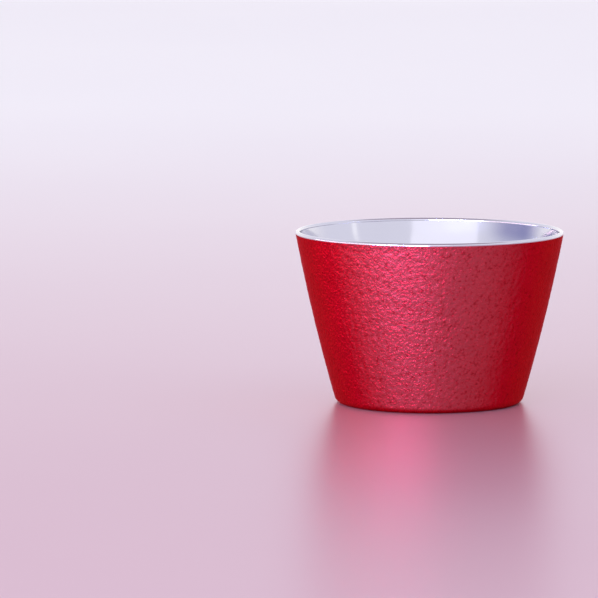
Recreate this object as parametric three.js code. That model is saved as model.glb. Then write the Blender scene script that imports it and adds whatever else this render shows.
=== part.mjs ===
// Double-walled titanium sake cup: a polished inner cup welded at the lip into a red outer shell,
// with the space between them evacuated and sealed under a cover in the foot.
// Millimetres, +Z up. The origin is the centre of the foot, on the plane that the cup stands on.
import * as THREE from "three";

// Overall size
const HEIGHT = 40;
const LIP_RADIUS = 31;
const BASE_RADIUS = 21.5;
const WALL_BOW = 0.5;

// Sheet and seams
const SHEET = 0.5;
const SEAM_GAP = 0.05;
const LIP_HEIGHT = 0.7;

// Foot of the outer shell
const HEEL_RADIUS = 2;
const FOOT_INNER_RADIUS = 17.8;
const FOOT_EDGE_ROUND = 0.6;
const RECESS_DEPTH = 1.2;
const RECESS_FILLET = 0.4;

// Vacuum port in the middle of the recessed panel
const PORT_RADIUS = 0.6;
const DIMPLE_RADIUS = 3.2;
const DIMPLE_SLOPE_WIDTH = 1;
const DIMPLE_RISE = 0.8;

// Inner cup
const FLOOR_HEIGHT = 5.1;
const FLOOR_CORNER_ROUND = 8;
const LAP_DEPTH = 3;
const INNER_TAPER = 0.315;
const TAPER_BLEND_ROUND = 30;

// Base cover
const COVER_THICKNESS = 0.4;
const COVER_CLEARANCE = 0.2;
const COVER_LAND_WIDTH = 2.4;
const COVER_DISH_DEPTH = 0.15;
const COVER_CHAMFER = 0.1;
const COVER_SEAT_CHAMFER = 0.25;

// Sealing bead
const BEAD_RADIUS = 2.7;
const BEAD_DEPTH = 0.7;
const BEAD_TIP = 0.3;

// Getter tablet and its clip
const GETTER_RADIUS = 3;
const GETTER_THICKNESS = 1.5;
const GETTER_CHAMFER = 0.2;
const GETTER_OFFSET = 10;
const CLIP_SHEET = 0.2;
const CLIP_WIDTH = 3;
const CLIP_FOOT_LENGTH = 2;
const CLIP_PLAY = 0.15;

// Fineness of the round shapes
const ROUND_SEGMENTS = 64;
const SMALL_SEGMENTS = 32;
const WALL_STEPS = 8;
const CORNER_STEPS = 5;
const SMALL_ARC_STEPS = 3;

const BARE_TITANIUM = { color: 0xc9cbd1, metalness: 1 };

const point = (r, z) => new THREE.Vector2(r, z);

// Points of an arc about a centre, with the angles in degrees counted from the outward radial direction.
function arc(centre, radius, fromDegrees, toDegrees, steps) {
  return Array.from({ length: steps + 1 }, (_, i) => {
    const angle = THREE.MathUtils.degToRad(fromDegrees + ((toDegrees - fromDegrees) * i) / steps);
    return point(centre.x + radius * Math.cos(angle), centre.y + radius * Math.sin(angle));
  });
}

// A copy of a line, moved sideways to its left by a distance, with mitred corners.
function offsetLine(line, distance) {
  const directions = line.slice(1).map((p, i) => p.clone().sub(line[i]).normalize());
  return line.map((p, i) => {
    const before = directions[Math.max(i - 1, 0)];
    const after = directions[Math.min(i, directions.length - 1)];
    const left = point(-before.y - after.y, before.x + after.x).normalize();
    const stretch = 1 / (left.x * -after.y + left.y * after.x);
    return p.clone().addScaledVector(left, distance * stretch);
  });
}

// The part of a rising line below a height, ended exactly at that height.
function cutAtHeight(line, height) {
  const below = line.filter((p) => p.y < height - 1e-6);
  const last = below[below.length - 1];
  const next = line[below.length];
  const share = (height - last.y) / (next.y - last.y);
  return [...below, last.clone().lerp(next, share)];
}

// A solid of revolution about +Z from an outline in radius and height.
function turned(outline, segments) {
  const onAxis = outline[0].x === 0 && outline[outline.length - 1].x === 0;
  const profile = onAxis ? outline : [...outline, outline[0].clone()];
  return new THREE.LatheGeometry(profile, segments).rotateX(Math.PI / 2);
}

// The outside of the wall: a cone that swells gently between the base and the lip.
const WALL_TOP = HEIGHT - LIP_HEIGHT;
const LIP_CENTRE_HEIGHT = HEIGHT - SHEET;

function wallRadius(z) {
  const share = z / LIP_CENTRE_HEIGHT;
  return BASE_RADIUS + (LIP_RADIUS - BASE_RADIUS) * share + 4 * WALL_BOW * share * (1 - share);
}

function wallSlope(z) {
  const share = z / LIP_CENTRE_HEIGHT;
  return (LIP_RADIUS - BASE_RADIUS + 4 * WALL_BOW * (1 - 2 * share)) / LIP_CENTRE_HEIGHT;
}

// The heel rounds the wall into the foot. Its arc ends where it is tangent to the wall.
function heel() {
  const lean = Math.atan(wallSlope(HEEL_RADIUS));
  const touchHeight = HEEL_RADIUS * (1 - Math.sin(lean));
  const centre = point(wallRadius(touchHeight) - HEEL_RADIUS * Math.cos(lean), HEEL_RADIUS);
  return { centre, touchHeight, endDegrees: -THREE.MathUtils.radToDeg(lean) };
}

// The outside of the wall above the heel, carried past the lip so that it can be cut to height.
function wallLine(fromHeight) {
  const top = HEIGHT + SHEET;
  return Array.from({ length: WALL_STEPS + 1 }, (_, i) => {
    const z = fromHeight + ((top - fromHeight) * i) / WALL_STEPS;
    return point(wallRadius(z), z);
  });
}

// Outer shell: port, dimple, recessed panel, foot ring, heel and wall, drawn from one sheet.
function outerShell() {
  const { centre, touchHeight, endDegrees } = heel();
  const dimpleHeight = RECESS_DEPTH + DIMPLE_RISE;
  const filletCentre = point(FOOT_INNER_RADIUS - RECESS_FILLET, RECESS_DEPTH - RECESS_FILLET);
  const edgeCentre = point(FOOT_INNER_RADIUS + FOOT_EDGE_ROUND, FOOT_EDGE_ROUND);
  const outside = [
    point(PORT_RADIUS, dimpleHeight),
    point(DIMPLE_RADIUS, dimpleHeight),
    point(DIMPLE_RADIUS + DIMPLE_SLOPE_WIDTH, RECESS_DEPTH),
    ...arc(filletCentre, RECESS_FILLET, 90, 0, SMALL_ARC_STEPS),
    ...arc(edgeCentre, FOOT_EDGE_ROUND, 180, 270, SMALL_ARC_STEPS),
    ...arc(centre, HEEL_RADIUS, -90, endDegrees, CORNER_STEPS),
    ...wallLine(touchHeight).slice(1),
  ];
  const inside = offsetLine(outside, SHEET);
  const top = WALL_TOP - SEAM_GAP;
  return turned([...cutAtHeight(outside, top), ...cutAtHeight(inside, top).reverse()], ROUND_SEGMENTS);
}

// The wet face of the inner cup: flat floor, round corner, cone, then a lap parallel to the outer wall.
function wetLine() {
  const lapHeight = HEIGHT - LAP_DEPTH;
  const depthInWall = 2 * SHEET + SEAM_GAP;
  const lap = offsetLine(wallLine(lapHeight), depthInWall);
  const coneLean = Math.atan(INNER_TAPER);
  const lapLean = Math.atan(wallSlope(lapHeight));
  const blendCentre = point(
    lap[0].x - TAPER_BLEND_ROUND * Math.cos(lapLean),
    lap[0].y + TAPER_BLEND_ROUND * Math.sin(lapLean),
  );
  const blend = arc(
    blendCentre,
    TAPER_BLEND_ROUND,
    -THREE.MathUtils.radToDeg(coneLean),
    -THREE.MathUtils.radToDeg(lapLean),
    SMALL_ARC_STEPS,
  );
  const cornerTop = FLOOR_HEIGHT + FLOOR_CORNER_ROUND * (1 - Math.sin(coneLean));
  const cornerEdge = blend[0].x - (blend[0].y - cornerTop) * INNER_TAPER;
  const cornerCentre = point(
    cornerEdge - FLOOR_CORNER_ROUND * Math.cos(coneLean),
    FLOOR_HEIGHT + FLOOR_CORNER_ROUND,
  );
  const cornerEnd = -THREE.MathUtils.radToDeg(coneLean);
  const corner = arc(cornerCentre, FLOOR_CORNER_ROUND, -90, cornerEnd, CORNER_STEPS);
  return [point(0, FLOOR_HEIGHT), ...corner, ...blend, ...lap.slice(1)];
}

// Inner cup: one drawn sheet whose lap lies against the outer shell below the lip.
function innerCup() {
  const wet = wetLine();
  const back = offsetLine(wet, -SHEET);
  const top = WALL_TOP - SEAM_GAP;
  return turned([...cutAtHeight(back, top), ...cutAtHeight(wet, top).reverse()], ROUND_SEGMENTS);
}

// Rim weld: the fused and polished bead that closes both sheets and makes the round lip.
function rimWeld() {
  const outer = wallRadius(WALL_TOP);
  const inner = cutAtHeight(wetLine(), WALL_TOP).pop().x;
  const lipRound = (LIP_RADIUS - inner) / 2;
  const centre = point(LIP_RADIUS - lipRound, HEIGHT - lipRound);
  const bead = arc(centre, lipRound, 0, 180, 2 * CORNER_STEPS);
  return turned([point(inner, WALL_TOP), point(outer, WALL_TOP), ...bead], ROUND_SEGMENTS);
}

// A domed line from a rim inwards to the axis, a quarter of an ellipse that rises or hangs.
function domeLine(radius, rimHeight, rise) {
  const flank = Array.from({ length: SMALL_ARC_STEPS }, (_, i) => {
    const angle = ((Math.PI / 2) * i) / SMALL_ARC_STEPS;
    return point(radius * Math.cos(angle), rimHeight + rise * Math.sin(angle));
  });
  return [...flank, point(0, rimHeight + rise)];
}

// Vacuum seal: the bead of brazing glass that ran into the dimple and plugs the port.
function vacuumSeal() {
  const seat = RECESS_DEPTH + DIMPLE_RISE - SEAM_GAP;
  const stem = PORT_RADIUS - SEAM_GAP;
  const panelTop = RECESS_DEPTH + DIMPLE_RISE + SHEET;
  const hangingFace = domeLine(BEAD_RADIUS, seat, -BEAD_DEPTH).reverse();
  return turned(
    [...hangingFace, point(stem, seat), ...domeLine(stem, panelTop, BEAD_TIP)],
    SMALL_SEGMENTS,
  );
}

// Base cover: a thin bare disc set in the recess over the seal, dished inside a plain land.
function baseCover() {
  const radius = FOOT_INNER_RADIUS - COVER_CLEARANCE;
  const top = RECESS_DEPTH - SEAM_GAP;
  const face = top - COVER_THICKNESS;
  const dishRadius = radius - COVER_LAND_WIDTH;
  return turned(
    [
      point(0, face + COVER_DISH_DEPTH),
      point(dishRadius - COVER_DISH_DEPTH, face + COVER_DISH_DEPTH),
      point(dishRadius, face),
      point(radius - COVER_CHAMFER, face),
      point(radius, face + COVER_CHAMFER),
      point(radius, top - COVER_SEAT_CHAMFER),
      point(radius - COVER_SEAT_CHAMFER, top),
      point(0, top),
    ],
    ROUND_SEGMENTS,
  );
}

// Getter: a pressed tablet that keeps the vacuum, lying on the panel beside the port.
function getter() {
  const base = RECESS_DEPTH + SHEET + SEAM_GAP;
  const top = base + GETTER_THICKNESS;
  return turned(
    [
      point(0, base),
      point(GETTER_RADIUS - GETTER_CHAMFER, base),
      point(GETTER_RADIUS, base + GETTER_CHAMFER),
      point(GETTER_RADIUS, top - GETTER_CHAMFER),
      point(GETTER_RADIUS - GETTER_CHAMFER, top),
      point(0, top),
    ],
    SMALL_SEGMENTS,
  );
}

// Getter clip: a strap bent over the tablet, with a foot on each side to be spot-welded to the panel.
function getterClip() {
  const base = RECESS_DEPTH + SHEET + SEAM_GAP;
  const leg = GETTER_RADIUS + CLIP_PLAY;
  const strap = base + GETTER_THICKNESS + CLIP_PLAY;
  const toe = leg + CLIP_FOOT_LENGTH;
  const section = new THREE.Shape([
    point(-toe, base),
    point(-leg, base),
    point(-leg, strap),
    point(leg, strap),
    point(leg, base),
    point(toe, base),
    point(toe, base + CLIP_SHEET),
    point(leg + CLIP_SHEET, base + CLIP_SHEET),
    point(leg + CLIP_SHEET, strap + CLIP_SHEET),
    point(-leg - CLIP_SHEET, strap + CLIP_SHEET),
    point(-leg - CLIP_SHEET, base + CLIP_SHEET),
    point(-toe, base + CLIP_SHEET),
  ]);
  return new THREE.ExtrudeGeometry(section, { depth: CLIP_WIDTH, bevelEnabled: false })
    .translate(0, 0, -CLIP_WIDTH / 2)
    .rotateX(Math.PI / 2);
}

const sakeCup = new THREE.Group();

function add(name, geometry, material, x = 0) {
  const mesh = new THREE.Mesh(geometry, new THREE.MeshStandardMaterial(material));
  mesh.name = name;
  mesh.position.x = x;
  sakeCup.add(mesh);
}

add("outer_shell", outerShell(), { color: 0xb3001a, roughness: 0.42, metalness: 0.9 });
add("inner_cup", innerCup(), { ...BARE_TITANIUM, roughness: 0.12 });
add("rim_weld", rimWeld(), { ...BARE_TITANIUM, roughness: 0.15 });
add("base_cover", baseCover(), { ...BARE_TITANIUM, roughness: 0.35 });
add("vacuum_seal", vacuumSeal(), { color: 0x3b3f45, roughness: 0.2, metalness: 0 });
add("getter", getter(), { color: 0x6a6a6c, roughness: 0.85, metalness: 0.4 }, GETTER_OFFSET);
add("getter_clip", getterClip(), { ...BARE_TITANIUM, roughness: 0.4 }, GETTER_OFFSET);

export default sakeCup;
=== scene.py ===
"""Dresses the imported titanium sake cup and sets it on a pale, softly lit table.

Lengths are in metres and the cup's own frame: +Z up, the origin in the middle of the foot.
"""

import math

import bmesh
import bpy
from bpy.props import FloatProperty, FloatVectorProperty, IntProperty, PointerProperty
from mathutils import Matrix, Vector


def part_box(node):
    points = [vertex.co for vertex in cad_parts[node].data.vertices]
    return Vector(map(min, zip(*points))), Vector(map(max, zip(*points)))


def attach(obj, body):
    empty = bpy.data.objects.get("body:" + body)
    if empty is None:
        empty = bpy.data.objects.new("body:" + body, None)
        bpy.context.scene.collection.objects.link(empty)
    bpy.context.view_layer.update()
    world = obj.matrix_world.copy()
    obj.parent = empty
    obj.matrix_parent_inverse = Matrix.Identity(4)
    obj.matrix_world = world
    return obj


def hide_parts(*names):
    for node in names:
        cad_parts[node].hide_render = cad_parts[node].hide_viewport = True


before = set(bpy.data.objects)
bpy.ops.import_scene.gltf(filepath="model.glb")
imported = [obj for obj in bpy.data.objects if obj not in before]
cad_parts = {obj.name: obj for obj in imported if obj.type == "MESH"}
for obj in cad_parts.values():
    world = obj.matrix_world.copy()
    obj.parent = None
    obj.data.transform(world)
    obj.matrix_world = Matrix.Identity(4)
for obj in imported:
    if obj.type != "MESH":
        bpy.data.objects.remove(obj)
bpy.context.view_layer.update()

bl_info = {
    "name": "Titanium sake cup",
    "version": (1, 0, 0),
    "blender": (4, 5, 0),
    "location": "View3D > Sidebar > Sake Cup",
    "description": "Makes a double-walled titanium sake cup with a wrinkled red shell",
    "category": "Object",
}

LIP_LOW, LIP_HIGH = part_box("rim_weld")
SHELL_LOW, SHELL_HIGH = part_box("outer_shell")
INNER_LOW, INNER_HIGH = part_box("inner_cup")
COVER_LOW, COVER_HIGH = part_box("base_cover")

# How finely the round shapes are turned
SHELL_SEGMENTS = 540
SMOOTH_SEGMENTS = 256
WALL_ROWS = 112
INSIDE_ROWS = 12
ARC_ROWS = 8
LIP_ROWS = 20
SHARP_ANGLE = math.radians(40)

# Heights that are nearer than this count as one
SAME_HEIGHT = 1e-9

# Wrinkles: widths in shares of the grain, heights in shares of the relief
FOLD_WIDTH, FOLD_HEIGHT = 1.3, 3.0
PIT_WIDTH, PIT_HEIGHT = 0.75, 1.4
SWELL_WIDTH, SWELL_HEIGHT = 4.5, 0.4
WRINKLE_STRETCH = (1, 1, 0.85)

# How far painted shade in folds and pits darkens the red, and how far pits dull its gloss
FOLD_SHADE = 0.2
PIT_SHADE = 0.65
PIT_DULLING = 0.6

# Share of a point's height that is added to its radius to place it among the lathe's rings
WALL_RUN = 0.9

# Places of the colour sockets of the Mix node
MIX_SHARE, MIX_FIRST, MIX_SECOND, MIX_RESULT = 0, 6, 7, 2

# The table, with its depth counted from the cup's axis
TABLE_RADIUS = 6.0
TABLE_SIDES = 96
TABLE_PINK_TO = -0.3
TABLE_PALE_FROM = 1.0

# Where parts of the room begin and end, as shares of a view direction's depth or height
BACK_WALL = (0.2, 0.9)
WALLS_END = (0.1, 0.5)
CEILING_START = (0.72, 0.9)

# Patches of the walls: bearing, half width and soft side in degrees, 0 on the camera's side
DIM_SIDE = (-86, 24, 16)
WINDOW = (73, 2.5, 1)
WINDOW_LIGHT = (1.1, 1.1, 1.15)

# Width of the camera's film in millimetres
FILM_WIDTH = 36


def length(name, description, default):
    """A length in metres that the sidebar shows in the scene's units."""
    return FloatProperty(name=name, description=description, default=default, unit="LENGTH", precision=5)


def amount(name, description, default, unit="NONE"):
    """A number that can't be negative."""
    return FloatProperty(name=name, description=description, default=default, min=0, unit=unit)


def angle(name, description, degrees):
    """An angle, given here in degrees."""
    turn = math.radians(degrees)
    return FloatProperty(name=name, description=description, default=turn, subtype="ANGLE")


def colour(name, description, default):
    """A linear colour with a swatch in the sidebar."""
    return FloatVectorProperty(
        name=name, description=description, default=default, subtype="COLOR", size=3, min=0, max=1
    )


class CupShape(bpy.types.PropertyGroup):
    """Sizes of the turned pieces."""

    height: length("Height", "From the table to the top of the lip", LIP_HIGH.z)
    lip_radius: length("Lip radius", "Outermost radius of the lip", LIP_HIGH.x)
    lip_height: length("Lip height", "Height of the bare bead", LIP_HIGH.z - LIP_LOW.z)
    base_radius: length("Base radius", "Where the wall's line meets the table", 0.0215)
    wall_bow: length("Wall bow", "How far the wall swells outside a straight cone", 0.0005)
    sheet: length("Sheet", "Thickness of the titanium sheet", 0.0005)
    seam_line: length("Seam line", "Gap left at the fused seams beside the lip", 0.000004)
    lap_gap: length("Lap gap", "Gap between the shell and the inner cup's lap", LIP_LOW.z - SHELL_HIGH.z)
    heel_radius: length("Heel radius", "Round between the wall and the foot ring", 0.002)
    foot_inner_radius: length("Foot inner radius", "Inner edge of the foot ring", 0.0178)
    foot_edge_round: length("Foot edge round", "Round on the ring's inner edge", 0.0006)
    recess_depth: length("Recess depth", "Depth of the panel inside the foot ring", 0.0012)
    recess_fillet: length("Recess fillet", "Fillet between ring and panel", 0.0004)
    port_radius: length("Port radius", "Vacuum port in the panel", 0.0006)
    dimple_radius: length("Dimple radius", "Flat of the dimple round the port", 0.0032)
    dimple_slope: length("Dimple slope", "Width of the dimple's side", 0.001)
    dimple_rise: length("Dimple rise", "Height of the dimple", 0.0008)
    corner_round: length("Corner round", "Round between the cup's floor and its wall", 0.008)
    lap_depth: length("Lap depth", "How far the inner cup lies along the shell", 0.003)
    blend_round: length("Blend round", "Bend between the cone and the lap", 0.03)
    inner_taper: amount("Inner taper", "Radius gained per height", 0.315)
    cover_dish: length("Cover dish", "Depth of the dished middle of the base cover", 0.00015)
    cover_land: length("Cover land", "Width of the plain land round the dish", 0.0024)
    cover_chamfer: length("Cover chamfer", "Chamfer on the cover's lower edge", 0.0001)
    cover_seat: length("Cover seat", "Chamfer that clears the fillet of the recess", 0.00025)


class CupFinish(bpy.types.PropertyGroup):
    """Relief and colours of the surfaces."""

    relief: length("Relief", "Height of the wrinkles on the red shell", 0.000075)
    grain: length("Grain", "Width of one wrinkle", 0.001)
    relief_start: length("Relief start", "Height above the table where the wrinkles begin", 0.0006)
    relief_margin: length("Relief margin", "Smooth strip under the lip", 0.0001)
    relief_fade: length("Relief fade", "Height over which the wrinkles die out at both ends", 0.0009)
    fine_depth: length("Fine depth", "Depth of the fine bump in the red coat", 0.00023)
    seed: IntProperty(name="Seed", description="Which wrinkles the shell gets", default=7, min=0)
    red: colour("Red", "The translucent red coat on bright metal", (0.58, 0.003, 0.02))
    # Deep red is where painted shade in folds and pits, and random darker tone, take the red
    deep_red: colour("Deep red", "The coat where it lies thick in the wrinkles", (0.30, 0.0015, 0.008))
    titanium: colour("Titanium", "Bare polished titanium", (0.74, 0.73, 0.78))
    satin: colour("Satin titanium", "Bare turned titanium", (0.56, 0.55, 0.57))
    seal_glass: colour("Seal glass", "The dark brazing glass", (0.018, 0.02, 0.026))
    getter_powder: colour("Getter powder", "The pressed grey tablet", (0.13, 0.13, 0.135))


class StageSettings(bpy.types.PropertyGroup):
    """The table, the light and the camera."""

    near_colour: colour("Near table", "Table in front of the cup", (0.69, 0.41, 0.50))
    far_colour: colour("Far table", "Table behind the cup", (1.0, 0.97, 1.0))
    room_colour: colour("Room", "Pale walls all round", (0.78, 0.78, 0.89))
    back_colour: colour("Back wall", "The lit wall behind the cup", (1.0, 0.98, 1.0))
    dim_colour: colour("Dim side", "The darker side of the room, on the left", (0.24, 0.25, 0.48))
    ceiling_colour: colour("Ceiling", "The darker ceiling", (0.36, 0.28, 0.36))
    room_light: amount("Room light", "Strength of the room's soft light", 1.06)
    room_seen: amount("Room seen", "Strength of the room where it is seen or mirrored", 1.12)
    box_power: amount("Soft box power", "Broad light that the inside mirrors", 1.3, "POWER")
    key_power: amount("Key power", "Low light left of the camera", 24, "POWER")
    strip_power: amount("Strip power", "Low light on the left", 2.8, "POWER")
    camera_distance: length("Camera distance", "Along the table, from the cup's axis", 1.2)
    camera_height: length("Camera height", "Above the table", 0.15907)
    camera_pitch: angle("Pitch", "Angle below the horizon", 6.424)
    camera_yaw: angle("Yaw", "Turn to the left of the cup", 1.44)
    lens: amount("Lens", "Focal length", 313.98, "CAMERA")


class CupSettings(bpy.types.PropertyGroup):
    """Everything that a user would change."""

    shape: PointerProperty(type=CupShape)
    finish: PointerProperty(type=CupFinish)
    stage: PointerProperty(type=StageSettings)


# Lines in radius and height


def arc(centre, radius, from_degrees, to_degrees, rows=ARC_ROWS):
    """Points of an arc, with the angles counted from the outward direction."""
    angles = [
        math.radians(from_degrees + (to_degrees - from_degrees) * i / rows) for i in range(rows + 1)
    ]
    return [Vector((centre[0] + radius * math.cos(a), centre[1] + radius * math.sin(a))) for a in angles]


def offset_line(line, distance):
    """A copy of a line moved to its left, with mitred corners."""
    directions = [(b - a).normalized() for a, b in zip(line, line[1:])]
    moved = []
    for i, corner in enumerate(line):
        before = directions[max(i - 1, 0)]
        after = directions[min(i, len(directions) - 1)]
        left = Vector((-before.y - after.y, before.x + after.x)).normalized()
        stretch = 1 / (left.y * after.x - left.x * after.y)
        moved.append(corner + left * distance * stretch)
    return moved


def cut_at_height(line, height):
    """The part of a rising line below a height, ended at that height."""
    below = [p for p in line if p.y < height - SAME_HEIGHT]
    last, following = below[-1], line[len(below)]
    share = (height - last.y) / (following.y - last.y)
    return below + [last.lerp(following, share)]


def wall_radius(shape, z):
    """The outside of the wall: a cone that swells gently."""
    share = z / (shape.height - shape.sheet)
    swell = 4 * shape.wall_bow * share * (1 - share)
    return shape.base_radius + (shape.lip_radius - shape.base_radius) * share + swell


def wall_slope(shape, z):
    """Radius gained per height on the outside of the wall."""
    top = shape.height - shape.sheet
    flare = shape.lip_radius - shape.base_radius
    return (flare + 4 * shape.wall_bow * (1 - 2 * z / top)) / top


def wall_line(shape, from_height, rows):
    """The outside of the wall, carried past the lip so that it can be cut to height."""
    top = shape.height + shape.sheet
    heights = [from_height + (top - from_height) * i / rows for i in range(rows + 1)]
    return [Vector((wall_radius(shape, z), z)) for z in heights]


def shell_outside(shape):
    """Port, dimple, panel, foot ring, heel and wall."""
    lean = math.atan(wall_slope(shape, shape.heel_radius))
    touch = shape.heel_radius * (1 - math.sin(lean))
    heel_centre = (wall_radius(shape, touch) - shape.heel_radius * math.cos(lean), shape.heel_radius)
    dimple_height = shape.recess_depth + shape.dimple_rise
    fillet = (shape.foot_inner_radius - shape.recess_fillet, shape.recess_depth - shape.recess_fillet)
    edge = (shape.foot_inner_radius + shape.foot_edge_round, shape.foot_edge_round)
    return [
        Vector((shape.port_radius, dimple_height)),
        Vector((shape.dimple_radius, dimple_height)),
        Vector((shape.dimple_radius + shape.dimple_slope, shape.recess_depth)),
        *arc(fillet, shape.recess_fillet, 90, 0),
        *arc(edge, shape.foot_edge_round, 180, 270),
        *arc(heel_centre, shape.heel_radius, -90, -math.degrees(lean)),
        *wall_line(shape, touch, WALL_ROWS)[1:],
    ]


def seam_height(shape):
    """Where the shell and the inner cup end, just under the lip."""
    return shape.height - shape.lip_height - shape.seam_line


def wet_line(shape):
    """The wet face of the inner cup: flat floor, round corner, cone, bend and lap."""
    floor_height = INNER_LOW.z + shape.sheet
    lap_height = shape.height - shape.lap_depth
    lap = offset_line(wall_line(shape, lap_height, INSIDE_ROWS), 2 * shape.sheet + shape.lap_gap)
    cone_lean = math.atan(shape.inner_taper)
    lap_lean = math.atan(wall_slope(shape, lap_height))
    blend_centre = (
        lap[0].x - shape.blend_round * math.cos(lap_lean),
        lap[0].y + shape.blend_round * math.sin(lap_lean),
    )
    blend = arc(blend_centre, shape.blend_round, -math.degrees(cone_lean), -math.degrees(lap_lean))
    corner_top = floor_height + shape.corner_round * (1 - math.sin(cone_lean))
    corner_edge = blend[0].x - (blend[0].y - corner_top) * shape.inner_taper
    corner_centre = (
        corner_edge - shape.corner_round * math.cos(cone_lean),
        floor_height + shape.corner_round,
    )
    corner = arc(corner_centre, shape.corner_round, -90, -math.degrees(cone_lean), 2 * ARC_ROWS)
    return [Vector((0, floor_height)), *corner, *blend, *lap[1:]]


# Turned bodies


def turned_mesh(name, outline, segments):
    """A closed body of revolution. An outline that leaves the axis out is closed on itself."""
    bm = bmesh.new()
    angles = [2 * math.pi * i / segments for i in range(segments)]
    rings = []
    for p in outline:
        if p.x > 0:
            rings.append([bm.verts.new((p.x * math.cos(a), p.x * math.sin(a), p.y)) for a in angles])
        else:
            rings.append([bm.verts.new((0, 0, p.y))] * segments)
    on_axis = outline[0].x == 0
    pairs = list(zip(rings, rings[1:]))
    if not on_axis:
        pairs.append((rings[-1], rings[0]))
    for lower, upper in pairs:
        for i in range(segments):
            j = (i + 1) % segments
            corners = []
            for vertex in (lower[i], lower[j], upper[j], upper[i]):
                if vertex not in corners:
                    corners.append(vertex)
            bm.faces.new(corners)
    bmesh.ops.recalc_face_normals(bm, faces=bm.faces)
    mesh = bpy.data.meshes.new(name)
    bm.to_mesh(mesh)
    bm.free()
    return mesh


def add_piece(name, outline, segments):
    """Turns an outline into an object at the origin, smooth apart from its crisp edges."""
    mesh = turned_mesh(name, outline, segments)
    mesh.polygons.foreach_set("use_smooth", [True] * len(mesh.polygons))
    mesh.set_sharp_from_angle(angle=SHARP_ANGLE)
    piece = bpy.data.objects.new(name, mesh)
    bpy.context.scene.collection.objects.link(piece)
    return piece


def stand_for(piece, node):
    """The piece rides on the cup and shows in place of a CAD node."""
    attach(piece, "root")
    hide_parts(node)


# Node trees


def fill(tree, socket, value):
    """Links an input to another node's output, or sets its value."""
    if isinstance(value, bpy.types.NodeSocket):
        tree.links.new(value, socket)
    else:
        socket.default_value = value


def place(tree, kind, inputs=None, **settings):
    """Adds a node, sets it up, and fills its inputs."""
    made = tree.nodes.new(kind)
    for name, value in settings.items():
        setattr(made, name, value)
    for key, value in (inputs or {}).items():
        fill(tree, made.inputs[key], value)
    return made


def sums(tree, operation, first, second=0.0):
    """The output of one arithmetic node."""
    return place(tree, "ShaderNodeMath", {0: first, 1: second}, operation=operation).outputs[0]


def vectors(tree, operation, first, second, output=0):
    """An output of one vector node."""
    inputs = {0: first, 1: second}
    return place(tree, "ShaderNodeVectorMath", inputs, operation=operation).outputs[output]


def ramp(tree, value, low, high, start=0.0, end=1.0):
    """Smoothly maps a value from the span low to high onto start to end."""
    inputs = {"Value": value, "From Min": low, "From Max": high, "To Min": start, "To Max": end}
    return place(tree, "ShaderNodeMapRange", inputs, interpolation_type="SMOOTHSTEP").outputs["Result"]


def blend_colours(tree, share, first, second):
    """The colour a share of the way from the first to the second."""
    node = place(tree, "ShaderNodeMix", {MIX_SHARE: share}, data_type="RGBA")
    for socket, value in ((MIX_FIRST, first), (MIX_SECOND, second)):
        is_link = isinstance(value, bpy.types.NodeSocket)
        fill(tree, node.inputs[socket], value if is_link else (*value[:3], 1))
    return node.outputs[MIX_RESULT]


def noise(tree, vector, width, detail=2.0, seed=0.0, roughness=0.5):
    """Noise from 0 to 1 whose features are about as wide as the width given."""
    inputs = {"Vector": vector, "W": seed, "Scale": 1 / width, "Detail": detail, "Roughness": roughness}
    return place(tree, "ShaderNodeTexNoise", inputs, noise_dimensions="4D").outputs[0]


def object_coordinates(tree):
    """The place on a piece, in metres and the cup's own frame."""
    return tree.nodes.new("ShaderNodeTexCoord").outputs["Object"]


# The wrinkled relief


def wrinkle_height(tree, given, position):
    """Height of the wrinkles, made of folds, small pits and a broad swell."""
    stretched = vectors(tree, "MULTIPLY", position, WRINKLE_STRETCH)

    def cloud(width, seed_step, detail=0.0):
        """Noise about zero, with its width in shares of the grain."""
        scale = sums(tree, "DIVIDE", 1 / width, given["Grain"])
        seed = sums(tree, "ADD", given["Seed"], seed_step)
        inputs = {"Vector": stretched, "W": seed, "Scale": scale, "Detail": detail}
        made = place(tree, "ShaderNodeTexNoise", inputs, noise_dimensions="4D")
        return sums(tree, "SUBTRACT", made.outputs[0], 0.5)

    folds = sums(tree, "ABSOLUTE", cloud(FOLD_WIDTH, seed_step=0.0, detail=1.0))
    ridges = sums(tree, "MULTIPLY", folds, -FOLD_HEIGHT)
    pits = sums(tree, "MULTIPLY", cloud(PIT_WIDTH, seed_step=3.7), PIT_HEIGHT)
    swell = sums(tree, "MULTIPLY", cloud(SWELL_WIDTH, seed_step=9.1), SWELL_HEIGHT)
    shape = sums(tree, "ADD", sums(tree, "ADD", ridges, pits), swell)
    return sums(tree, "MULTIPLY", shape, given["Relief"])


def wall_mask(tree, given, position, normal):
    """1 on the outside of the wall, fading to 0 at both ends of the band."""
    flat = vectors(tree, "MULTIPLY", position, (1, 1, 0))
    facing = vectors(tree, "DOT_PRODUCT", normal, flat, "Value")
    outside = sums(tree, "GREATER_THAN", facing, 0.0)
    height = place(tree, "ShaderNodeSeparateXYZ", {0: position}).outputs["Z"]
    low_end = sums(tree, "ADD", given["Band Low"], given["Fade"])
    high_start = sums(tree, "SUBTRACT", given["Band High"], given["Fade"])
    rising = ramp(tree, height, given["Band Low"], low_end)
    falling = ramp(tree, height, high_start, given["Band High"], start=1.0, end=0.0)
    return sums(tree, "MULTIPLY", sums(tree, "MULTIPLY", rising, falling), outside)


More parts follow.
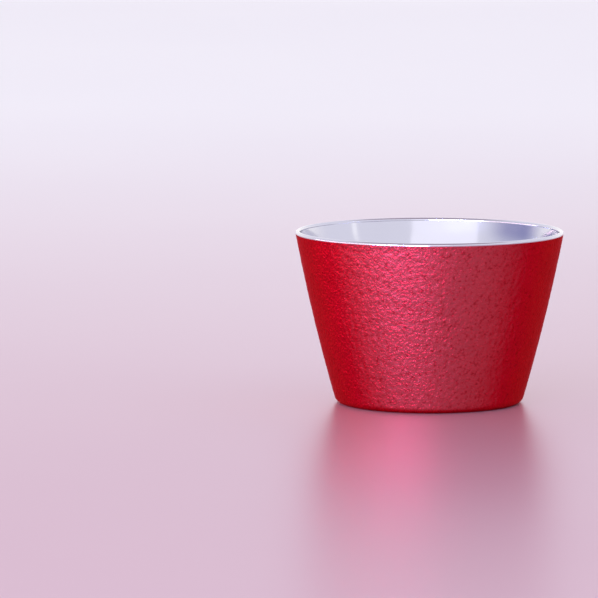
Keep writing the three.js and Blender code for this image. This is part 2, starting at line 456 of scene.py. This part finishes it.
def relief_tree():
    """Geometry Nodes that raise irregular wrinkles on the outside of a turned wall."""
    tree = bpy.data.node_groups.new("Wrinkled skin", "GeometryNodeTree")
    sockets = {}
    for name, kind in (
        ("Geometry", "Geometry"),
        ("Relief", "Float"),
        ("Grain", "Float"),
        ("Seed", "Float"),
        ("Band Low", "Float"),
        ("Band High", "Float"),
        ("Fade", "Float"),
        ("Finish", "Material"),
    ):
        sockets[name] = tree.interface.new_socket(name, in_out="INPUT", socket_type="NodeSocket" + kind)
    tree.interface.new_socket("Geometry", in_out="OUTPUT", socket_type="NodeSocketGeometry")
    given = tree.nodes.new("NodeGroupInput").outputs
    position = tree.nodes.new("GeometryNodeInputPosition").outputs[0]
    normal = tree.nodes.new("GeometryNodeInputNormal").outputs[0]
    height = wrinkle_height(tree, given, position)
    lift = sums(tree, "MULTIPLY", height, wall_mask(tree, given, position, normal))
    offset = place(tree, "ShaderNodeVectorMath", {0: normal, "Scale": lift}, operation="SCALE")
    shift = {"Geometry": given["Geometry"], "Offset": offset.outputs[0]}
    moved = place(tree, "GeometryNodeSetPosition", shift)
    whole = place(tree, "GeometryNodeRealizeInstances", {0: moved.outputs[0]})
    skin = {"Geometry": whole.outputs[0], "Material": given["Finish"]}
    finished = place(tree, "GeometryNodeSetMaterial", skin)
    place(tree, "NodeGroupOutput", {0: finished.outputs[0]})
    return tree, sockets


def raise_relief(piece, values):
    """Runs the relief on a piece and keeps the result as its plain mesh."""
    tree, sockets = relief_tree()
    modifier = piece.modifiers.new("Wrinkles", "NODES")
    modifier.node_group = tree
    for name, value in values.items():
        modifier[sockets[name].identifier] = value
    evaluated = piece.evaluated_get(bpy.context.evaluated_depsgraph_get())
    mesh = bpy.data.meshes.new_from_object(evaluated)
    piece.modifiers.remove(modifier)
    piece.data = mesh
    if len(mesh.polygons) == 0:
        raise RuntimeError("the relief left no faces on " + piece.name)


# Effects that more than one finish uses


def effect_group(name, inputs, output):
    """A new shader node group with number inputs and one output; gives its tree and its inputs."""
    tree = bpy.data.node_groups.new(name, "ShaderNodeTree")
    for label, default in inputs:
        socket = tree.interface.new_socket(label, in_out="INPUT", socket_type="NodeSocketFloat")
        socket.default_value = default
    tree.interface.new_socket(output, in_out="OUTPUT", socket_type="NodeSocketFloat")
    return tree, tree.nodes.new("NodeGroupInput").outputs


def clouds_group():
    """Soft clouds of handling and cleaning, made once."""
    name = "Handling clouds"
    if name in bpy.data.node_groups:
        return bpy.data.node_groups[name]
    tree, given = effect_group(name, (("Width", 0.012), ("Low", 0.0), ("High", 1.0)), "Value")
    scale = sums(tree, "DIVIDE", 1.0, given["Width"])
    inputs = {"Vector": object_coordinates(tree), "Scale": scale, "Detail": 4.0, "Roughness": 0.6}
    cloud = place(tree, "ShaderNodeTexNoise", inputs).outputs[0]
    inputs = {
        "Value": cloud, "From Min": 0.3, "From Max": 0.7, "To Min": given["Low"], "To Max": given["High"]
    }
    spread = place(tree, "ShaderNodeMapRange", inputs).outputs["Result"]
    place(tree, "NodeGroupOutput", {0: spread})
    return tree


def rings_group():
    """Fine rings left by the lathe and the polishing wheel, as a height from 0 to 1, made once."""
    name = "Lathe rings"
    if name in bpy.data.node_groups:
        return bpy.data.node_groups[name]
    tree, given = effect_group(name, (("Pitch", 0.0002), ("Wander", 0.1)), "Height")
    here = object_coordinates(tree)
    x, y, z = place(tree, "ShaderNodeSeparateXYZ", {0: here}).outputs
    across = sums(tree, "ADD", sums(tree, "MULTIPLY", x, x), sums(tree, "MULTIPLY", y, y))
    run = sums(tree, "ADD", sums(tree, "SQRT", across), sums(tree, "MULTIPLY", z, WALL_RUN))
    shares = sums(tree, "DIVIDE", run, given["Pitch"])
    cloud = place(tree, "ShaderNodeTexNoise", {"Vector": here, "Scale": 90.0, "Detail": 1.0}).outputs[0]
    wandered = sums(tree, "ADD", shares, sums(tree, "MULTIPLY", cloud, given["Wander"]))
    inputs = {"W": wandered, "Scale": 1.0, "Detail": 2.0}
    rings = place(tree, "ShaderNodeTexNoise", inputs, noise_dimensions="1D").outputs[0]
    place(tree, "NodeGroupOutput", {0: rings})
    return tree


def clouds(tree, width, low, high):
    """A value that drifts between low and high in clouds of a width in metres."""
    values = {"Width": width, "Low": low, "High": high}
    return place(tree, "ShaderNodeGroup", values, node_tree=clouds_group()).outputs[0]


def lathe_rings(tree, pitch, wander):
    """Rings with a pitch in metres that wander by a share of it."""
    values = {"Pitch": pitch, "Wander": wander}
    return place(tree, "ShaderNodeGroup", values, node_tree=rings_group()).outputs[0]


# Finishes


def new_finish(name):
    """An empty material with its tree and its shader."""
    material = bpy.data.materials.new(name)
    material.use_nodes = True
    tree = material.node_tree
    tree.nodes.clear()
    shader = tree.nodes.new("ShaderNodeBsdfPrincipled")
    place(tree, "ShaderNodeOutputMaterial", {"Surface": shader.outputs[0]})
    return material, tree, shader


def bump(tree, shader, height, depth, strength=1.0):
    """Feeds a height from 0 to 1, worth a depth in metres, to the shader's normal."""
    inputs = {"Height": height, "Distance": depth, "Strength": strength}
    fill(tree, shader.inputs["Normal"], place(tree, "ShaderNodeBump", inputs).outputs[0])


def set_shader(tree, shader, values):
    """Fills the shader's own sockets by name."""
    for name, value in values.items():
        fill(tree, shader.inputs[name], value)


def toned(base, share):
    """A colour made darker or lighter."""
    return [channel * share for channel in base]


def red_coat(finish):
    """Translucent red over bright wrinkled metal, with painted shade in its folds and pits and darker
    clouds of random tone.
    """
    material, tree, shader = new_finish("Red coat on wrinkled titanium")
    here = object_coordinates(tree)
    fine = noise(tree, here, finish.grain * 0.55, detail=1.5, seed=2.3, roughness=0.6)
    # Painted shade: the red darkens in dark spots called pits, which also dull the coat
    pitted = noise(tree, here, finish.grain * 0.7, detail=1.0, seed=6.1)
    pits = ramp(tree, pitted, low=0.26, high=0.5, start=1.0, end=0.0)
    coarse = noise(tree, here, finish.grain * 1.6, detail=1.0, seed=finish.seed)
    folds = sums(tree, "ABSOLUTE", sums(tree, "SUBTRACT", coarse, 0.5))
    fold_shade_mask = sums(tree, "MULTIPLY", ramp(tree, folds, low=0.0, high=0.12), FOLD_SHADE)
    # Painted shade in folds and pits, with random darker clouds of tone, takes the red towards the deep
    # red
    shade_and_tone = sums(tree, "MAXIMUM", fold_shade_mask, clouds(tree, width=0.009, low=0.0, high=0.3))
    shade_and_tone = sums(tree, "MAXIMUM", shade_and_tone, sums(tree, "MULTIPLY", pits, PIT_SHADE))
    facing = place(tree, "ShaderNodeLayerWeight", {"Blend": 0.5}).outputs["Facing"]
    gloss = ramp(tree, facing, low=0.06, high=0.4, start=1.0, end=0.02)
    open_share = sums(tree, "SUBTRACT", 1.0, sums(tree, "MULTIPLY", pits, PIT_DULLING))
    bump(tree, shader, fine, finish.fine_depth)
    set_shader(tree, shader, {
        "Base Color": blend_colours(tree, shade_and_tone, finish.red, finish.deep_red),
        "Metallic": 0.9,
        "Roughness": clouds(tree, width=0.006, low=0.34, high=0.42),
        "Specular IOR Level": 0.2,
        "Specular Tint": (0.75, 0.05, 0.1, 1),
        "Coat Weight": sums(tree, "MULTIPLY", gloss, open_share),
        "Coat Roughness": 0.42,
        "Coat IOR": 1.7,
    })
    return material


def polished_titanium(finish):
    """Bare titanium polished to a soft mirror on the wheel."""
    material, tree, shader = new_finish("Polished titanium")
    dulled = toned(finish.titanium, 0.9)
    worn = clouds(tree, width=0.014, low=0.0, high=0.25)
    bump(tree, shader, lathe_rings(tree, pitch=0.00025, wander=0.6), depth=0.0000012, strength=0.5)
    set_shader(tree, shader, {
        "Base Color": blend_colours(tree, worn, finish.titanium, dulled),
        "Metallic": 1.0,
        "Roughness": clouds(tree, width=0.008, low=0.09, high=0.15),
    })
    return material


def satin_titanium(finish):
    """Bare titanium with the marks of the lathe."""
    material, tree, shader = new_finish("Satin titanium")
    rings = lathe_rings(tree, pitch=0.00018, wander=0.2)
    dulled = toned(finish.satin, 0.8)
    worn = clouds(tree, width=0.01, low=0.0, high=0.4)
    bump(tree, shader, rings, depth=0.000006, strength=0.7)
    set_shader(tree, shader, {
        "Base Color": blend_colours(tree, worn, finish.satin, dulled),
        "Metallic": 1.0,
        "Roughness": ramp(tree, rings, low=0.2, high=0.8, start=0.26, end=0.42),
    })
    return material


def fused_glass(finish):
    """Dark brazing glass with a few frozen ripples and specks."""
    material, tree, shader = new_finish("Fused sealing glass")
    here = object_coordinates(tree)
    ripples = noise(tree, here, width=0.0012, detail=2.0, seed=5.0)
    specks = ramp(tree, noise(tree, here, width=0.0003, detail=1.0, seed=8.0), low=0.62, high=0.7)
    lighter = toned(finish.seal_glass, 2.4)
    bump(tree, shader, ripples, depth=0.00008, strength=0.6)
    set_shader(tree, shader, {
        "Base Color": blend_colours(tree, specks, finish.seal_glass, lighter),
        "Roughness": ramp(tree, ripples, low=0.3, high=0.7, start=0.12, end=0.28),
        "IOR": 1.55,
    })
    return material


def pressed_powder(finish):
    """Grey metal powder pressed into a tablet."""
    material, tree, shader = new_finish("Pressed getter powder")
    here = object_coordinates(tree)
    grains = noise(tree, here, width=0.00025, detail=3.0, seed=1.0, roughness=0.7)
    patches = ramp(tree, noise(tree, here, width=0.0015, seed=4.0), low=0.35, high=0.65)
    lighter = toned(finish.getter_powder, 1.7)
    bump(tree, shader, grains, depth=0.00006)
    set_shader(tree, shader, {
        "Base Color": blend_colours(tree, patches, finish.getter_powder, lighter),
        "Metallic": 0.4,
        "Roughness": ramp(tree, grains, low=0.3, high=0.7, start=0.72, end=0.92),
    })
    return material


def titanium_finish(kind, finish):
    """The bare metal finishes are shared, so each is made once."""
    makers = {"Polished titanium": polished_titanium, "Satin titanium": satin_titanium}
    return bpy.data.materials.get(kind) or makers[kind](finish)


# Operators


class SAKECUP_OT_outer_shell(bpy.types.Operator):
    """Make the red outer shell with its wrinkled relief"""

    bl_idname = "sakecup.outer_shell"
    bl_label = "Outer Shell"

    def execute(self, context):
        shape, finish = context.scene.sake_cup.shape, context.scene.sake_cup.finish
        top = seam_height(shape)
        outside = shell_outside(shape)
        inside = offset_line(outside[:-WALL_ROWS] + outside[-WALL_ROWS::INSIDE_ROWS], shape.sheet)
        outline = cut_at_height(outside, top) + cut_at_height(inside, top)[::-1]
        piece = add_piece("red_shell", outline, SHELL_SEGMENTS)
        raise_relief(piece, {
            "Relief": finish.relief,
            "Grain": finish.grain,
            "Seed": float(finish.seed),
            "Band Low": finish.relief_start,
            "Band High": top - finish.relief_margin,
            "Fade": finish.relief_fade,
            "Finish": red_coat(finish),
        })
        stand_for(piece, "outer_shell")
        return {"FINISHED"}


class SAKECUP_OT_inner_cup(bpy.types.Operator):
    """Make the polished inner cup"""

    bl_idname = "sakecup.inner_cup"
    bl_label = "Inner Cup"

    def execute(self, context):
        shape, finish = context.scene.sake_cup.shape, context.scene.sake_cup.finish
        top = seam_height(shape)
        wet = wet_line(shape)
        back = offset_line(wet, -shape.sheet)
        back[0].x = 0
        outline = cut_at_height(back, top) + cut_at_height(wet, top)[::-1]
        piece = add_piece("polished_cup", outline, SMOOTH_SEGMENTS)
        piece.data.materials.append(titanium_finish("Polished titanium", finish))
        stand_for(piece, "inner_cup")
        return {"FINISHED"}


class SAKECUP_OT_rim_weld(bpy.types.Operator):
    """Make the bare rounded lip"""

    bl_idname = "sakecup.rim_weld"
    bl_label = "Lip"

    def execute(self, context):
        shape, finish = context.scene.sake_cup.shape, context.scene.sake_cup.finish
        bottom = shape.height - shape.lip_height
        outer = wall_radius(shape, bottom)
        inner = cut_at_height(wet_line(shape), bottom)[-1].x
        lip_round = (shape.lip_radius - inner) / 2
        centre = (shape.lip_radius - lip_round, shape.height - lip_round)
        bead = arc(centre, lip_round, 0, 180, LIP_ROWS)
        outline = [Vector((inner, bottom)), Vector((outer, bottom)), *bead]
        piece = add_piece("bare_lip", outline, SMOOTH_SEGMENTS)
        piece.data.materials.append(titanium_finish("Polished titanium", finish))
        stand_for(piece, "rim_weld")
        return {"FINISHED"}


class SAKECUP_OT_base_cover(bpy.types.Operator):
    """Make the turned cover in the foot"""

    bl_idname = "sakecup.base_cover"
    bl_label = "Base Cover"

    def execute(self, context):
        shape, finish = context.scene.sake_cup.shape, context.scene.sake_cup.finish
        face, top, radius = COVER_LOW.z, COVER_HIGH.z, COVER_HIGH.x
        dish_radius = radius - shape.cover_land
        outline = [
            Vector((0, face + shape.cover_dish)),
            Vector((dish_radius - 2 * shape.cover_dish, face + shape.cover_dish)),
            Vector((dish_radius, face)),
            Vector((radius - shape.cover_chamfer, face)),
            Vector((radius, face + shape.cover_chamfer)),
            Vector((radius, top - shape.cover_seat)),
            Vector((radius - shape.cover_seat, top)),
            Vector((0, top)),
        ]
        piece = add_piece("foot_cover", outline, SMOOTH_SEGMENTS)
        piece.data.materials.append(titanium_finish("Satin titanium", finish))
        stand_for(piece, "base_cover")
        return {"FINISHED"}


class SAKECUP_OT_sealed_parts(bpy.types.Operator):
    """Finish the seal, the getter and its clip between the walls"""

    bl_idname = "sakecup.sealed_parts"
    bl_label = "Sealed Parts"

    def execute(self, context):
        finish = context.scene.sake_cup.finish
        finishes = {
            "vacuum_seal": fused_glass(finish),
            "getter": pressed_powder(finish),
            "getter_clip": titanium_finish("Satin titanium", finish),
        }
        for node, material in finishes.items():
            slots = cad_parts[node].data.materials
            slots.clear()
            slots.append(material)
        return {"FINISHED"}


class SAKECUP_OT_stage(bpy.types.Operator):
    """Set the table, the light and the camera"""

    bl_idname = "sakecup.stage"
    bl_label = "Stage"

    def execute(self, context):
        stage = context.scene.sake_cup.stage
        lay_table(stage)
        paint_room(context.scene, stage)
        hang_lamps(stage)
        place_camera(context.scene, stage)
        return {"FINISHED"}


# Stage


def lay_table(stage):
    """A glossy pale table that runs from pink in front to near white far behind."""
    bm = bmesh.new()
    bmesh.ops.create_circle(bm, cap_ends=True, segments=TABLE_SIDES, radius=TABLE_RADIUS)
    mesh = bpy.data.meshes.new("table")
    bm.to_mesh(mesh)
    bm.free()
    table = bpy.data.objects.new("table", mesh)
    bpy.context.scene.collection.objects.link(table)
    material, tree, shader = new_finish("Satin lacquered table")
    depth = place(tree, "ShaderNodeSeparateXYZ", {0: object_coordinates(tree)}).outputs["Y"]
    far = ramp(tree, depth, low=TABLE_PINK_TO, high=TABLE_PALE_FROM)
    set_shader(tree, shader, {
        "Base Color": blend_colours(tree, far, stage.near_colour, stage.far_colour),
        "Metallic": 0.45,
        "Roughness": clouds(tree, width=0.4, low=0.31, high=0.34),
        "IOR": 1.5,
    })
    mesh.materials.append(material)


def round_patch(tree, bearing, patch):
    """1 where a bearing lies in a patch, with soft sides."""
    centre, half_width, soft = (math.radians(angle) for angle in patch)
    away = sums(tree, "ABSOLUTE", sums(tree, "SUBTRACT", bearing, centre))
    return ramp(tree, away, half_width - soft, half_width + soft, start=1.0, end=0.0)


def paint_room(scene, stage):
    """A pale room with a lit back wall, a dim side, a narrow window and a darker ceiling."""
    world = bpy.data.worlds.new("Pale room")
    scene.world = world
    world.use_nodes = True
    tree = world.node_tree
    tree.nodes.clear()
    direction = tree.nodes.new("ShaderNodeTexCoord").outputs["Generated"]
    x, y, z = place(tree, "ShaderNodeSeparateXYZ", {0: direction}).outputs
    bearing = sums(tree, "ARCTAN2", x, sums(tree, "MULTIPLY", y, -1.0))
    low = ramp(tree, z, *WALLS_END, start=1.0, end=0.0)
    walls = stage.room_colour
    for patch, paint in (
        (ramp(tree, y, *BACK_WALL), stage.back_colour),
        (round_patch(tree, bearing, DIM_SIDE), stage.dim_colour),
        (round_patch(tree, bearing, WINDOW), WINDOW_LIGHT),
    ):
        walls = blend_colours(tree, sums(tree, "MULTIPLY", patch, low), walls, paint)
    walls = blend_colours(tree, ramp(tree, z, *CEILING_START), walls, stage.ceiling_colour)
    path = tree.nodes.new("ShaderNodeLightPath").outputs
    seen = sums(tree, "MAXIMUM", path["Is Camera Ray"], path["Is Glossy Ray"])
    seen = sums(tree, "MAXIMUM", seen, path["Is Transmission Ray"])
    strength = ramp(tree, seen, low=0.0, high=1.0, start=stage.room_light, end=stage.room_seen)
    background = place(tree, "ShaderNodeBackground", {"Color": walls, "Strength": strength})
    place(tree, "ShaderNodeOutputWorld", {"Surface": background.outputs[0]})


def hang_lamp(name, power, tint, size, bearing, rise, reach):
    """A rectangular soft lamp that faces the cup from a bearing and a rise, in degrees."""
    light = bpy.data.lights.new(name, "AREA")
    light.shape = "RECTANGLE"
    light.size, light.size_y = size
    light.energy = power
    light.color = tint
    bearing, rise = math.radians(bearing), math.radians(rise)
    lamp = bpy.data.objects.new(name, light)
    lamp.location = (
        reach * math.cos(rise) * math.sin(bearing),
        -reach * math.cos(rise) * math.cos(bearing),
        reach * math.sin(rise),
    )
    lamp.rotation_euler = (-lamp.location).to_track_quat("-Z", "Y").to_euler()
    lamp.visible_camera = False
    bpy.context.scene.collection.objects.link(lamp)


def hang_lamps(stage):
    """A broad soft box that the polished inside mirrors, and two low lamps for the red wall."""
    box_tint, key_tint, strip_tint = (0.98, 0.96, 1.0), (0.4, 0.47, 0.98), (1.0, 0.7, 0.75)
    low_size = (1.2, 0.14)
    hang_lamp("Soft box", stage.box_power, box_tint, size=(1.6, 0.9), bearing=-15, rise=25, reach=1.4)
    hang_lamp("Key", stage.key_power, key_tint, low_size, bearing=-25, rise=5.5, reach=1.3)
    hang_lamp("Low left strip", stage.strip_power, strip_tint, low_size, bearing=-80, rise=3, reach=0.9)


def place_camera(scene, stage):
    """The photograph's viewpoint, as fitted to the cup's outline."""
    data = bpy.data.cameras.new("Camera")
    data.lens = stage.lens
    data.sensor_width = FILM_WIDTH
    camera = bpy.data.objects.new("Camera", data)
    camera.location = (0, -stage.camera_distance, stage.camera_height)
    camera.rotation_euler = (math.pi / 2 - stage.camera_pitch, 0, stage.camera_yaw)
    scene.collection.objects.link(camera)
    scene.camera = camera
    scene.view_settings.view_transform = "Standard"


class SAKECUP_PT_sidebar(bpy.types.Panel):
    """Lists the settings and the steps that make the cup"""

    bl_idname = "SAKECUP_PT_sidebar"
    bl_label = "Sake Cup"
    bl_space_type = "VIEW_3D"
    bl_region_type = "UI"
    bl_category = "Sake Cup"

    def draw(self, context):
        settings = context.scene.sake_cup
        for group in (settings.shape, settings.finish, settings.stage):
            box = self.layout.box()
            for name in group.__annotations__:
                box.prop(group, name)
        for operator in OPERATORS:
            self.layout.operator(operator.bl_idname)


OPERATORS = (
    SAKECUP_OT_stage,
    SAKECUP_OT_outer_shell,
    SAKECUP_OT_inner_cup,
    SAKECUP_OT_rim_weld,
    SAKECUP_OT_base_cover,
    SAKECUP_OT_sealed_parts,
)
CLASSES = (CupShape, CupFinish, StageSettings, CupSettings, *OPERATORS, SAKECUP_PT_sidebar)


def register():
    for cls in CLASSES:
        bpy.utils.register_class(cls)
    bpy.types.Scene.sake_cup = PointerProperty(type=CupSettings)


def unregister():
    del bpy.types.Scene.sake_cup
    for cls in reversed(CLASSES):
        bpy.utils.unregister_class(cls)


def main():
    register()
    bpy.ops.sakecup.stage()
    bpy.ops.sakecup.outer_shell()
    bpy.ops.sakecup.inner_cup()
    bpy.ops.sakecup.rim_weld()
    bpy.ops.sakecup.base_cover()
    bpy.ops.sakecup.sealed_parts()


if __name__ == "__main__":
    main()
